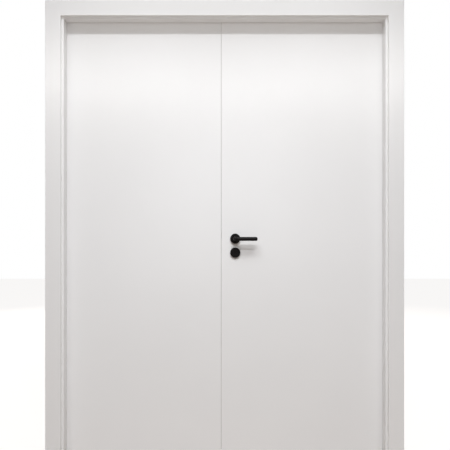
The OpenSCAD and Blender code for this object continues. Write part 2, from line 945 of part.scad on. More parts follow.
// Tray that holds the works, with the lug for the latch spring and the deadbolt's guide
module lock_case() {
    color(steel) at_lock() {
        difference() {
            translate([forend_t, -case_t / 2, case_up - case_h])
                cube([case_l - forend_t, case_t - case_wall, case_h]);
            translate([forend_t - cut, -case_t / 2 + case_wall, case_up - case_h + case_wall])
                cube([case_l - forend_t + cut - case_wall, case_t, case_h - 2 * case_wall]);
            case_holes();
        }
        difference() {
            translate([lug_u, -case_t / 2 + case_wall / 2, tail_z - coil_r - play])
                cube([lug_w, inside + case_wall / 2 - seat, 2 * coil_r + 2 * play]);
            translate([lug_u - cut, -tail_w / 2 - play, tail_z - tail_h / 2 - play])
                cube([lug_w + 2 * cut, tail_w + 2 * play, tail_h + 2 * play]);
        }
        translate([guide_u, -case_t / 2 + case_wall / 2, -lock_centres + bolt_tail_z + bolt_tail_h / 2])
            rotate([-90, 0, 0]) cylinder(h = inside + case_wall / 2 - seat, r = guide_r);
    }
}

module lock_cover() {
    color(steel) at_lock() difference() {
        translate([forend_t, case_t / 2 - case_wall, case_up - case_h])
            cube([case_l - forend_t, case_wall, case_h]);
        case_holes();
    }
}

module lock_forend() {
    color(steel) at_lock() difference() {
        translate([0, 0, forend_mid]) plate_yz(forend_t) round_ended(forend_w, forend_l);
        translate([-cut, -latch_t / 2 - play, latch_up - latch_h / 2 - play])
            cube([forend_t + 2 * cut, latch_t + 2 * play, latch_h + 2 * play]);
        translate([-cut, -deadbolt_t / 2 - play, -lock_centres - deadbolt_h / 2 - play])
            cube([forend_t + 2 * cut, deadbolt_t + 2 * play, deadbolt_h + 2 * play]);
        forend_screw_places() wood_screw_hole();
    }
}

// Hub with bearings, square hole and the arm that draws the latch back
module lock_follower() {
    color(steel) at_lock() translate([backset, 0, 0]) difference() {
        union() {
            across(inside - 2 * play, hub_d);
            across(case_t, journal_d);
            translate([-arm_w / 2, -tail_w / 2, 0]) cube([arm_w, tail_w, arm_h]);
        }
        translate([-spindle_w / 2 - seat, -case_t, -spindle_w / 2 - seat])
            cube([spindle_w + 2 * seat, 2 * case_t, spindle_w + 2 * seat]);
    }
}

// Head with a slope towards the push side, and the hooked tail
module latch_bolt() {
    color(steel) at_lock() {
        translate([0, 0, latch_up - latch_h / 2]) linear_extrude(latch_h) polygon([
            [latch_back, -latch_t / 2], [0, -latch_t / 2], [-latch_out, latch_t / 2 - nose_t],
            [-latch_out, latch_t / 2], [latch_back, latch_t / 2]
        ]);
        translate([latch_back - weld, -tail_w / 2, tail_z - tail_h / 2])
            cube([tail_end - latch_back + weld, tail_w, tail_h]);
        translate([tail_end - hook_w, -tail_w / 2, arm_h - hook_w])
            cube([hook_w, tail_w, tail_z - arm_h + hook_w]);
    }
}

// Point at angle a round the wire where it has turned by t about the spring's axis, which is +X
function wire_point(x, t, a) = [
    x + sin(a) * wire_d / 2,
    (coil_r + cos(a) * wire_d / 2) * cos(t),
    (coil_r + cos(a) * wire_d / 2) * sin(t)
];

// Compression spring round the latch's tail
module latch_spring() {
    sides = 6;
    steps_per_turn = 12;
    steps = steps_per_turn * spring_turns;
    from_x = latch_back + wire_d / 2 + seat;
    run = lug_u - latch_back - wire_d - 2 * seat;
    points = [for (i = [0:steps], k = [0:sides - 1])
        wire_point(from_x + run * i / steps, 360 * spring_turns * i / steps, 360 * k / sides)];
    walls = [for (i = [0:steps - 1], k = [0:sides - 1])
        let (a = i * sides + k, b = i * sides + (k + 1) % sides) [a, b, b + sides, a + sides]];
    ends = [
        [for (k = [sides - 1:-1:0]) k],
        [for (k = [0:sides - 1]) steps * sides + k]
    ];
    color(steel) at_lock() translate([0, 0, tail_z]) polyhedron(points, concat(walls, ends), convexity = 10);
}

// Head, and the thin tail with its talon for the key and its guide slot
module deadbolt() {
    tail_mid = bolt_tail_z + bolt_tail_h / 2;
    color(steel) at_lock() translate([0, 0, -lock_centres]) {
        translate([seat, -deadbolt_t / 2, -deadbolt_h / 2])
            cube([deadbolt_l - seat, deadbolt_t, deadbolt_h]);
        difference() {
            translate([deadbolt_l - weld, -bolt_tail_t / 2, bolt_tail_z])
                cube([backset + bolt_tail_past - deadbolt_l + weld, bolt_tail_t, bolt_tail_h]);
            translate([backset, 0, bolt_tail_z]) across(2 * bolt_tail_t, 2 * talon_r);
            translate([guide_u, 0, tail_mid]) across(2 * bolt_tail_t, 2 * guide_r + 2 * play);
            translate([guide_u + deadbolt_throw, 0, tail_mid]) across(2 * bolt_tail_t, 2 * guide_r + 2 * play);
            translate([guide_u, -bolt_tail_t, tail_mid - guide_r - play])
                cube([deadbolt_throw, 2 * bolt_tail_t, 2 * guide_r + 2 * play]);
        }
    }
}

// Furniture, drawn on the pull side with y = 0 at the middle of the leaf and mirrored for the push side

module push_side() {
    at_lock() mirror([0, 1, 0]) children();
}

// Disc along +Y from the leaf's face
module disc(from_y, h, d) {
    translate([0, leaf_t / 2 + from_y + h, 0]) rotate([90, 0, 0]) cylinder(h = h, d = d);
}

// Shell of a rose: an eased cap whose rim stands on the leaf
module rose_shell() {
    translate([0, leaf_t / 2, 0]) rotate([-90, 0, 0]) rotate_extrude() difference() {
        square([rose_d / 2, rose_h]);
        corner_cut([rose_d / 2, rose_h], 180, rose_edge_r);
        translate([-cut, -cut]) square([rose_d / 2 - rose_wall + cut, rose_h - rose_wall + cut]);
    }
}

// Base that the two through bolts hold to the leaf
module rose_base(hole_d) {
    difference() {
        disc(0, base_t, rose_d - 2 * rose_wall - 2 * seat);
        disc(-cut, base_t + 2 * cut, hole_d);
        for (s = [-1, 1]) translate([s * bolt_offset, 0, 0]) {
            disc(-cut, base_t + 2 * cut, bolt_d + 2 * seat);
            disc(base_t / 2 - seat, base_t, bolt_head_d + 2 * seat);
        }
    }
}

module lever_rose() {
    translate([backset, 0, 0]) difference() {
        rose_shell();
        disc(0, 2 * rose_h, lever_d + 4 * play);
    }
}

module lever_rose_base() {
    translate([backset, 0, 0]) rose_base(journal_d + 2 * snug);
}

module key_rose() {
    translate([backset, 0, -lock_centres]) difference() {
        rose_shell();
        translate([0, leaf_t / 2, 0]) plate_xz(2 * rose_h) keyhole_outline();
    }
}

module key_rose_base() {
    translate([backset, 0, -lock_centres]) difference() {
        rose_base(bolt_d);
        translate([0, leaf_t / 2 - cut, 0]) plate_xz(base_t + 2 * cut) keyhole_outline(seat);
    }
}

// Neck, bend and round bar, with the square socket for the spindle
module lever() {
    neck_from = leaf_t / 2 + base_t + play;
    neck_to = leaf_t / 2 + lever_out - bend_r;
    bar_l = lever_reach - bend_r;
    translate([backset, 0, 0]) difference() {
        union() {
            translate([0, neck_from, 0]) rotate([-90, 0, 0]) cylinder(h = neck_to - neck_from, d = lever_d);
            translate([0, leaf_t / 2, 0]) rotate([-90, 0, 0])
                cylinder(h = base_t + lever_d / 2, d = journal_d);
            translate([bend_r, neck_to, 0]) rotate([0, 0, 90])
                rotate_extrude(angle = 90) translate([bend_r, 0]) circle(d = lever_d);
            translate([bend_r, neck_to + bend_r, 0]) rotate([0, 90, 0]) rotate_extrude() {
                square([lever_d / 2, bar_l - tip_r]);
                square([lever_d / 2 - tip_r, bar_l]);
                translate([lever_d / 2 - tip_r, bar_l - tip_r]) intersection() {
                    circle(tip_r);
                    square(tip_r);
                }
            }
        }
        translate([-spindle_w / 2 - seat, 0, -spindle_w / 2 - seat])
            cube([spindle_w + 2 * seat, neck_to - seat, spindle_w + 2 * seat]);
        grub_place() translate([0, 0, -cut]) cylinder(h = lever_d / 2 + cut, d = grub_d + 2 * snug);
    }
}

// Moves to a grub screw's outer end, under the neck, with z running up to the spindle
module grub_place() {
    translate([0, leaf_t / 2 + (rose_h + lever_out - bend_r) / 2, -lever_d / 2]) children();
}

module lever_front() {
    color(black) push_side() lever();
}

module lever_rear() {
    color(black) at_lock() lever();
}

module spindle() {
    half_l = leaf_t / 2 + lever_out - bend_r - bore_room;
    color(steel) at_lock() translate([backset - spindle_w / 2, -half_l, -spindle_w / 2])
        cube([spindle_w, 2 * half_l, spindle_w]);
}

module grub_screws() {
    color(steel) {
        at_lock() grub_screw();
        push_side() grub_screw();
    }
}

module grub_screw() {
    translate([backset, 0, 0]) grub_place()
        translate([0, 0, play]) cylinder(h = (lever_d - spindle_w) / 2 - 2 * play, d = grub_d);
}

// Bolts with a head in each base, two for every pair of roses
module through_bolts() {
    half_l = leaf_t / 2 + base_t / 2;
    color(steel) at_lock() for (z = [0, -lock_centres], s = [-1, 1])
        translate([backset + s * bolt_offset, 0, z]) {
            across(2 * half_l, bolt_d);
            for (side = [-1, 1]) translate([0, side * (half_l + base_t / 4), 0]) across(base_t / 2, bolt_head_d);
        }
}

module rose_front() {
    color(black) push_side() lever_rose();
}

module rose_rear() {
    color(black) at_lock() lever_rose();
}

module rose_base_front() {
    color(steel) push_side() lever_rose_base();
}

module rose_base_rear() {
    color(steel) at_lock() lever_rose_base();
}

module key_rose_front() {
    color(black) push_side() key_rose();
}

module key_rose_rear() {
    color(black) at_lock() key_rose();
}

module key_rose_base_front() {
    color(steel) push_side() key_rose_base();
}

module key_rose_base_rear() {
    color(steel) at_lock() key_rose_base();
}

jamb_left();
jamb_right();
head_lining();
front_casing_left();
front_casing_right();
front_casing_head();
rear_casing_left();
rear_casing_right();
rear_casing_head();
seal_left();
seal_right();
seal_head();
left_hinge_low_frame();
left_hinge_mid_frame();
left_hinge_top_frame();
right_hinge_low_frame();
right_hinge_mid_frame();
right_hinge_top_frame();
hinge_pins();
frame_screws();
lining_screws();
top_keep();
active_leaf_panel();
right_hinge_low_leaf();
right_hinge_mid_leaf();
right_hinge_top_leaf();
active_leaf_screws();
lock_case();
lock_cover();
lock_forend();
rose_front();
rose_rear();
rose_base_front();
rose_base_rear();
key_rose_front();
key_rose_rear();
key_rose_base_front();
key_rose_base_rear();
through_bolts();
lever_front();
lever_rear();
spindle();
lock_follower();
grub_screws();
latch_bolt();
latch_spring();
deadbolt();
passive_leaf_panel();
left_hinge_low_leaf();
left_hinge_mid_leaf();
left_hinge_top_leaf();
passive_leaf_screws();
strike_plate();
top_bolt_housing();
bottom_bolt_housing();
top_bolt();
bottom_bolt();
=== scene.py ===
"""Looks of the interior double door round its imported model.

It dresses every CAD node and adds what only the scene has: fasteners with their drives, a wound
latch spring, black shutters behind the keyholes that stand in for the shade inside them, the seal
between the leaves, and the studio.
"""
import json
import logging
import math
from dataclasses import dataclass, replace
from enum import Enum
from typing import Any, Iterable, Union

import bmesh
import bpy
import numpy as np
from mathutils import Matrix, Vector


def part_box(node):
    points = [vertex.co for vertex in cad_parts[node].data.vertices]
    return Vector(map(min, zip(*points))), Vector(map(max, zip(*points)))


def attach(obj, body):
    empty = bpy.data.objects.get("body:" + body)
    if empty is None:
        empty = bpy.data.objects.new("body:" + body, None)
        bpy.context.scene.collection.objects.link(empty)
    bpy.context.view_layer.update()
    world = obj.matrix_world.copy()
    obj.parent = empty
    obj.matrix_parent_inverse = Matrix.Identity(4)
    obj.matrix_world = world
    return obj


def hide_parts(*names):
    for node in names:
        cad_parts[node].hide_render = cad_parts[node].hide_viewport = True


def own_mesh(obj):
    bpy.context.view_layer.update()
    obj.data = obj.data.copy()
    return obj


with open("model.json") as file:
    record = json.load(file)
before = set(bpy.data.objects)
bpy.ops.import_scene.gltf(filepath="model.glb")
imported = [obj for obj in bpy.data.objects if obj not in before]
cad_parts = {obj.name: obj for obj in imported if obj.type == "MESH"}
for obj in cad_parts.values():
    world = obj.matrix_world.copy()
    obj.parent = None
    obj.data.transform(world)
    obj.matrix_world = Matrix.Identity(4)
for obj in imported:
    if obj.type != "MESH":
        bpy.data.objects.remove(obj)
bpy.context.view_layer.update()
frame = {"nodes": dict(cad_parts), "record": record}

MM = 0.001
FRAME_PX = 450
FULL_TURN = 2 * math.pi
CREASE = math.radians(32)
LOG = logging.getLogger("door")

# Sockets whose names repeat on their node, so they go by number.
MIX_SHARE, MIX_LOW, MIX_HIGH, MIX_RESULT = 0, 6, 7, 2
RANDOM_LEAST, RANDOM_MOST, RANDOM_VALUE = 2, 3, 1

Point = tuple[float, float, float]
Colour = tuple[float, float, float]
Term = Union["Wire", float]


def opaque(colour: Colour) -> tuple[float, float, float, float]:
    """A colour with full alpha."""
    return (*colour, 1.0)


class Wire:
    """A node's output socket, which arithmetic turns into Math nodes."""

    def __init__(self, graph: "Graph", socket: bpy.types.NodeSocket | None) -> None:
        """Keeps the socket and the graph it belongs to."""
        self.graph = graph
        self.socket = socket

    def math(self, operation: str, first: Term, second: Term = 0.0) -> "Wire":
        """Adds one Math node.

        Args:
            operation: The Math node's operation.
            first: Its first value or link.
            second: Its second value or link.

        Returns:
            The node's output.
        """
        return self.graph.node("ShaderNodeMath", {"operation": operation}, {0: first, 1: second})

    def __add__(self, other: Term) -> "Wire":
        """This plus the other."""
        return self.math("ADD", self, other)

    def __radd__(self, other: Term) -> "Wire":
        """The other plus this."""
        return self.math("ADD", other, self)

    def __sub__(self, other: Term) -> "Wire":
        """This less the other."""
        return self.math("SUBTRACT", self, other)

    def __rsub__(self, other: Term) -> "Wire":
        """The other less this."""
        return self.math("SUBTRACT", other, self)

    def __mul__(self, other: Term) -> "Wire":
        """This times the other."""
        return self.math("MULTIPLY", self, other)

    def __rmul__(self, other: Term) -> "Wire":
        """The other times this."""
        return self.math("MULTIPLY", other, self)

    def __gt__(self, other: Term) -> "Wire":
        """One where this is greater."""
        return self.math("GREATER_THAN", self, other)

    def __lt__(self, other: Term) -> "Wire":
        """One where this is less."""
        return self.math("LESS_THAN", self, other)

    def __abs__(self) -> "Wire":
        """This without its sign."""
        return self.math("ABSOLUTE", self)

    def __or__(self, other: Term) -> "Wire":
        """The greater of the two, so either of two masks."""
        return self.math("MAXIMUM", self, other)

    def __and__(self, other: Term) -> "Wire":
        """The smaller of the two, so where both masks are."""
        return self.math("MINIMUM", self, other)


class Graph:
    """A node tree to which every node is added by one method."""

    def __init__(self, tree: bpy.types.NodeTree) -> None:
        """Keeps the tree and empties it."""
        self.tree = tree
        tree.nodes.clear()

    def node(self, kind: str, settings: dict[str, Any] | None = None,
             sockets: dict[str | int, Any] | None = None, output: str | int = 0) -> Wire:
        """Adds a node.

        Args:
            kind: The node's type.
            settings: Its properties, which are set first.
            sockets: Values or links of its input sockets, by name or number; a list links several.
            output: The output that is wanted.

        Returns:
            That output.
        """
        made = self.tree.nodes.new(kind)
        for name, value in (settings or {}).items():
            setattr(made, name, value)
        for key, value in (sockets or {}).items():
            for item in value if isinstance(value, list) else [value]:
                if isinstance(item, Wire):
                    self.tree.links.new(item.socket, made.inputs[key])
                else:
                    made.inputs[key].default_value = item
        return Wire(self, made.outputs[output] if len(made.outputs) else None)


@dataclass(frozen=True)
class Spots:
    """A noise: its spots' width, its finer layers and how much closer they lie along each axis."""

    width: float
    detail: float = 3.0
    stretch: Point = (1.0, 1.0, 1.0)


class Shader(Graph):
    """A material's nodes."""

    def __init__(self, name: str) -> None:
        """Makes an empty material.

        Args:
            name: The material's name.
        """
        self.material = bpy.data.materials.new(name)
        self.material.use_nodes = True
        super().__init__(self.material.node_tree)

    def place(self) -> Wire:
        """The point on the object, in metres."""
        return self.node("ShaderNodeTexCoord", output="Object")

    def axes(self) -> tuple[Wire, Wire, Wire]:
        """The three coordinates of the point on the object."""
        point = {0: self.place()}
        return tuple(self.node("ShaderNodeSeparateXYZ", sockets=point, output=i) for i in range(3))

    def noise(self, spots: Spots) -> Wire:
        """Noise between 0 and 1.

        Args:
            spots: What it looks like.

        Returns:
            The noise's strength.
        """
        drawn = self.node("ShaderNodeMapping", sockets={
            "Vector": self.place(), "Scale": spots.stretch})
        return self.node("ShaderNodeTexNoise", sockets={
            "Vector": drawn, "Scale": 1 / spots.width, "Detail": spots.detail})

    def mix(self, share: Term, low: Wire | Colour, high: Wire | Colour) -> Wire:
        """Blends two colours.

        Args:
            share: Share of the second colour.
            low: The first colour, or a link.
            high: The second colour, or a link.

        Returns:
            The blended colour.
        """
        low, high = (part if isinstance(part, Wire) else opaque(part) for part in (low, high))
        return self.node("ShaderNodeMix", {"data_type": "RGBA"},
                         {MIX_SHARE: share, MIX_LOW: low, MIX_HIGH: high}, MIX_RESULT)

    def finish(self, colour: Wire, rough: Wire, relief: Wire, depth: float,
               fixed: dict[str, float]) -> bpy.types.Material:
        """Adds the shader itself.

        Args:
            colour: The surface's colour.
            rough: Its roughness.
            relief: Its height, about 0 to 1.
            depth: The height's size, in metres.
            fixed: Values that are the same all over, by socket.

        Returns:
            The finished material.
        """
        normal = self.node("ShaderNodeBump", sockets={
            "Height": relief, "Distance": depth, "Strength": 1.0})
        surface = self.node("ShaderNodeBsdfPrincipled", sockets={
            **fixed, "Base Color": colour, "Roughness": rough, "Normal": normal})
        self.node("ShaderNodeOutputMaterial", sockets={"Surface": surface})
        return self.material


@dataclass(frozen=True)
class Board:
    """Fibreboard under the lacquer: cut edges and backs."""

    pale: Colour = (0.64, 0.52, 0.38)
    dark: Colour = (0.44, 0.33, 0.22)
    fibres: Spots = Spots(0.9 * MM, 4.0, (1.0, 1.0, 0.45))
    fibre_share: float = 0.65
    blotches: Spots = Spots(60 * MM, 2.0)
    blotch_share: float = 0.35
    roughness: float = 0.85

    def fuzz(self, shader: Shader) -> Wire:
        """The short fibres of the cut face."""
        return shader.noise(self.fibres)

    def colour(self, shader: Shader) -> Wire:
        """The board's brown, with its fibres and the darker patches of the press."""
        blotches = self.blotch_share * shader.noise(self.blotches)
        return shader.mix(self.fibre_share * self.fuzz(shader) + blotches, self.pale, self.dark)


@dataclass(frozen=True)
class Lacquer:
    """Satin white lacquer, sprayed over board that shows where the mask is one."""

    bright: Colour = (0.875, 0.872, 0.872)
    shaded: Colour = (0.845, 0.842, 0.842)
    clouds: Spots = Spots(350 * MM, 2.0)
    roughness: float = 0.34
    gloss_play: float = 0.1
    mist: Spots = Spots(40 * MM)
    peel: Spots = Spots(2.2 * MM, 2.0)
    peel_depth: float = 0.014 * MM
    gloss: float = 0.5
    board: Board = Board()
    board_lift: float = 8.0

    def coat(self, shader: Shader, bare: Wire) -> bpy.types.Material:
        """Lacquers a surface.

        Args:
            shader: The material's nodes.
            bare: One where the board is left bare.

        Returns:
            The finished material.
        """
        paint = shader.mix(shader.noise(self.clouds), self.bright, self.shaded)
        colour = shader.mix(bare, paint, self.board.colour(shader))
        sheen = self.roughness + self.gloss_play * shader.noise(self.mist)
        rough = sheen + bare * (self.board.roughness - self.roughness)
        relief = shader.noise(self.peel) + bare * self.board_lift * self.board.fuzz(shader)
        return shader.finish(colour, rough, relief, self.peel_depth,
                             {"Specular IOR Level": self.gloss})


@dataclass(frozen=True)
class Mottled:
    """A finish whose colour, roughness and relief each vary in spots of their own."""

    first: Colour
    second: Colour
    patches: Spots
    roughness: float
    rough_play: float
    mist: Spots
    grain: Spots
    depth: float
    socket: str
    level: float

    def material(self, name: str) -> bpy.types.Material:
        """Makes the finish a material.

        Args:
            name: The material's name.

        Returns:
            The material.
        """
        shader = Shader(name)
        colour = shader.mix(shader.noise(self.patches), self.first, self.second)
        rough = self.roughness + self.rough_play * shader.noise(self.mist)
        return shader.finish(colour, rough, shader.noise(self.grain), self.depth,
                             {self.socket: self.level})


@dataclass(frozen=True)
class PowderCoat(Mottled):
    """Matt black powder coat with its fine texture."""

    first: Colour = (0.004, 0.0035, 0.0036)
    second: Colour = (0.011, 0.0092, 0.0092)
    patches: Spots = Spots(6 * MM, 4.0)
    roughness: float = 0.48
    rough_play: float = 0.2
    mist: Spots = Spots(2 * MM)
    grain: Spots = Spots(0.45 * MM)
    depth: float = 0.02 * MM
    socket: str = "Specular IOR Level"
    level: float = 0.15


@dataclass(frozen=True)
class Zinc(Mottled):
    """Bright zinc plate with its faint yellow and blue clouds."""

    first: Colour = (0.60, 0.63, 0.68)
    second: Colour = (0.72, 0.69, 0.58)
    patches: Spots = Spots(6 * MM)
    roughness: float = 0.28
    rough_play: float = 0.2
    mist: Spots = Spots(1 * MM)
    grain: Spots = Spots(0.8 * MM, 2.0)
    depth: float = 0.01 * MM
    socket: str = "Metallic"
    level: float = 1.0


@dataclass(frozen=True)
class Rubber(Mottled):
    """Pale extruded seal, with a fine grain and a little dust."""

    first: Colour = (0.74, 0.735, 0.72)
    second: Colour = (0.64, 0.63, 0.61)
    patches: Spots = Spots(12 * MM, 4.0)
    roughness: float = 0.55
    rough_play: float = 0.2
    mist: Spots = Spots(4 * MM, 2.0)
    grain: Spots = Spots(0.5 * MM, 2.0)
    depth: float = 0.02 * MM
    socket: str = "Specular IOR Level"
    level: float = 0.4


@dataclass(frozen=True)
class BrushedSteel:
    """Satin stainless steel, brushed upwards."""

    light: Colour = (0.75, 0.745, 0.735)
    dark: Colour = (0.60, 0.597, 0.59)
    lines: Spots = Spots(0.35 * MM, 3.0, (1.0, 1.0, 0.02))
    roughness: float = 0.26
    rough_play: float = 0.2
    depth: float = 0.01 * MM

    def material(self, name: str) -> bpy.types.Material:
        """Makes the steel a material, in which one set of lines drives colour, gloss and relief.

        Args:
            name: The material's name.

        Returns:
            The material.
        """
        shader = Shader(name)
        lines = shader.noise(self.lines)
        colour = shader.mix(lines, self.dark, self.light)
        rough = self.roughness + self.rough_play * lines
        return shader.finish(colour, rough, lines, self.depth, {"Metallic": 1.0})


def dress(names: Iterable[str], material: bpy.types.Material) -> None:
    """Gives CAD nodes a material.

    Args:
        names: The nodes.
        material: What goes into their slots.
    """
    for name in names:
        for slot in frame["nodes"][name].material_slots:
            slot.material = material


class GeometryTree(Graph):
    """A Geometry Nodes tree with named inputs, baked to a plain mesh."""

    def __init__(self, name: str, sizes: Iterable[str], counts: Iterable[str] = ()) -> None:
        """Makes the tree.

        Args:
            name: The tree's name.
            sizes: Names of its inputs for sizes, in metres, and for other measures.
            counts: Names of its inputs for whole numbers.
        """
        super().__init__(bpy.data.node_groups.new(name, "GeometryNodeTree"))
        kinds = {"Geometry": "Geometry", **dict.fromkeys(sizes, "Float"),
                 **dict.fromkeys(counts, "Int"), "Finish": "Material"}
        ports = self.tree.interface
        for label, kind in kinds.items():
            ports.new_socket(label, in_out="INPUT", socket_type=f"NodeSocket{kind}")
        ports.new_socket("Geometry", in_out="OUTPUT", socket_type="NodeSocketGeometry")
        self.source = self.tree.nodes.new("NodeGroupInput")

    def given(self, label: str) -> Wire:
        """The input of that name."""
        return Wire(self, self.source.outputs[label])

    def vector(self, x: Term, y: Term, z: Term) -> Wire:
        """A vector of three terms."""
        return self.node("ShaderNodeCombineXYZ", sockets={0: x, 1: y, 2: z})

    def close(self, form: Wire) -> None:
        """Ends the tree with real geometry in the finish.

        Args:
            form: What the tree has made.
        """
        real = self.node("GeometryNodeRealizeInstances", sockets={0: form})
        done = self.node("GeometryNodeSetMaterial", sockets={
            "Geometry": real, "Material": self.given("Finish")})
        self.node("NodeGroupOutput", sockets={0: done})

    def bake(self, name: str, mesh: bpy.types.Mesh, values: dict[str, Any]) -> bpy.types.Mesh:
        """Runs the tree on a mesh.

        Args:
            name: Name of the result.
            mesh: What the tree starts from.
            values: Its inputs by name.

        Returns:
            The plain mesh.
        """
        carrier = bpy.data.objects.new(name + "_carrier", mesh)
        modifier = carrier.modifiers.new("nodes", "NODES")
        modifier.node_group = self.tree
        for item in self.tree.interface.items_tree:
            if item.in_out == "INPUT" and item.name in values:
                modifier[item.identifier] = values[item.name]
        bpy.context.scene.collection.objects.link(carrier)
        view = bpy.context.evaluated_depsgraph_get()
        made = bpy.data.meshes.new_from_object(carrier.evaluated_get(view))
        carrier.modifiers.remove(modifier)
        bpy.data.objects.remove(carrier)
        made.shade_smooth()
        made.set_sharp_from_angle(angle=CREASE)
        return made


def show(name: str, mesh: bpy.types.Mesh, body: str,
         stands_for: Iterable[str] = ()) -> bpy.types.Object:
    """Puts a finished piece in the scene and reports it.

    Args:
        name: The piece's name.
        mesh: Its mesh, in place.
        body: The body that it rides on.
        stands_for: CAD nodes that it replaces.

    Returns:
        The piece.
    """
    piece = bpy.data.objects.new(name, mesh)
    bpy.context.scene.collection.objects.link(piece)
    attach(piece, body)
    if stands_for:
        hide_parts(*stands_for)
    LOG.info("%s: %d faces, rides on %s", name, len(mesh.polygons), body)
    return piece


class Recess(Enum):
    """The drive in a fastener's head."""

    CROSS = "cross"
    HEX = "hex"


@dataclass(frozen=True)
class Seat:
    """Where a screw sits: the middle of its head's face, the way in, its length and its width."""

    head: np.ndarray
    inward: np.ndarray
    length: float
    width: float


@dataclass
class Fasteners:
    """Screws of one CAD node, rebuilt with a drive in each head where the node's solids are."""

    node: str
    body: str
    recess: Recess = Recess.CROSS
    countersunk: bool = True
    drive_up: bool = True
    shank_d: float = 4 * MM
    shank_taper: float = 0.6
    shank_sides: int = 24
    head_h: float = 2.1 * MM
    head_sides: int = 32
    drive_w: float = 0.85 * MM
    drive_l: float = 4.4 * MM
    drive_depth: float = 1.7 * MM
    seed: int = 7

    def solids(self) -> list[np.ndarray]:
        """The points of each separate solid in the CAD node.

        Returns:
            One array of points for each solid.
        """
        mesh = frame["nodes"][self.node].data
        points = np.array([vertex.co for vertex in mesh.vertices])
        places, owner = np.unique(np.round(points, 6), axis=0, return_inverse=True)
        owner = owner.reshape(-1)
        root = list(range(len(places)))

        def first(i: int) -> int:
            """Finds the first point of a point's solid.

            Args:
                i: The point.

            Returns:
                The first point.
            """
            while root[i] != i:
                root[i] = root[root[i]]
                i = root[i]
            return i

        for face in mesh.polygons:
            one, *rest = (owner[v] for v in face.vertices)
            for other in rest:
                root[first(other)] = first(one)
        firsts = np.array([first(i) for i in range(len(places))])
        return [places[firsts == i] for i in np.unique(firsts)]

    def seat(self, points: np.ndarray) -> Seat:
        """Reads one screw's seat from its solid.

        Args:
            points: The solid's points.

        Returns:
            The seat; where both ends are as wide, drive_up says which one is the head.
        """
        low, high = points.min(0), points.max(0)
        axis = int(np.argmax(high - low))
        middle = (low + high) / 2
        spread = np.linalg.norm(np.delete(points - middle, axis, 1), axis=1)
        near = self.head_h / 4
        at_low, at_high = (spread[abs(points[:, axis] - end[axis]) < near].max()
                           for end in (low, high))
        from_low = at_low > at_high if self.countersunk else not self.drive_up
        head, inward = middle.copy(), np.zeros(3)
        head[axis] = low[axis] if from_low else high[axis]
        inward[axis] = 1 if from_low else -1
        return Seat(head, inward, float(high[axis] - low[axis]), float(2 * spread.max()))

    def points(self, seats: list[Seat]) -> bpy.types.Mesh:
        """A mesh of one point for each seat, with its direction and length.

        Args:
            seats: The screws' seats.

        Returns:
            The mesh.
        """
        mesh = bpy.data.meshes.new(self.node + "_seats")
        mesh.from_pydata([tuple(seat.head) for seat in seats], [], [])
        ways = np.concatenate([seat.inward for seat in seats]).astype(np.float32)
        mesh.attributes.new("inward", "FLOAT_VECTOR", "POINT").data.foreach_set("vector", ways)
        lengths = np.array([seat.length for seat in seats], np.float32)
        mesh.attributes.new("length", "FLOAT", "POINT").data.foreach_set("value", lengths)
        return mesh

    def drive(self, tree: GeometryTree) -> list[Wire]:
        """The forms that cut the drive out of the head, twice as deep because half stands out.

        Args:
            tree: The tree that they are made in.

        Returns:
            Two crossed bars, or a hexagon.
        """
        long, wide, deep = (tree.given(f"Drive {size}") for size in ("Length", "Width", "Depth"))
        if self.recess is Recess.HEX:
            return [tree.node("GeometryNodeMeshCylinder", sockets={
                "Vertices": 6, "Radius": long * 0.5, "Depth": deep * 2.0})]
        return [tree.node("GeometryNodeMeshCube", sockets={"Size": tree.vector(*size, deep * 2.0)})
                for size in ((long, wide), (wide, long))]

    def tree(self) -> GeometryTree:
        """The Geometry Nodes tree that puts a driven screw on every point.

        Returns:
            The tree.
        """
        g = GeometryTree(self.node + "_tree", [
            "Head Width", "Head Height", "Shank Width", "Drive Width", "Drive Length",
            "Drive Depth"], ["Seed"])
        head_r, shank_r = g.given("Head Width") * 0.5, g.given("Shank Width") * 0.5
        under = g.given("Head Height")
        head = g.node("GeometryNodeMeshCone", sockets={
            "Vertices": self.head_sides, "Radius Top": shank_r if self.countersunk else head_r,
            "Radius Bottom": head_r, "Depth": under})
        driven = g.node("GeometryNodeMeshBoolean", {"operation": "DIFFERENCE", "solver": "EXACT"}, {
            "Mesh 1": head, "Mesh 2": self.drive(g), "Self Intersection": True})
        length = g.node("GeometryNodeInputNamedAttribute", {"data_type": "FLOAT"},
                        {"Name": "length"})
        inward = g.node("GeometryNodeInputNamedAttribute", {"data_type": "FLOAT_VECTOR"},
                        {"Name": "inward"})
        facing = g.node("FunctionNodeAlignRotationToVector", {"axis": "Z"}, {"Vector": inward})
        chance = g.node("FunctionNodeRandomValue", {"data_type": "FLOAT"}, {
            RANDOM_LEAST: 0.0, RANDOM_MOST: FULL_TURN, "Seed": g.given("Seed")}, RANDOM_VALUE)
        turn = g.node("FunctionNodeAxisAngleToRotation", sockets={
            "Axis": (0.0, 0.0, 1.0), "Angle": chance})
        turned = g.node("FunctionNodeRotateRotation", {"rotation_space": "LOCAL"},
                        {0: facing, 1: turn})
        heads = g.node("GeometryNodeInstanceOnPoints", sockets={
            "Points": g.given("Geometry"), "Instance": driven, "Rotation": turned})
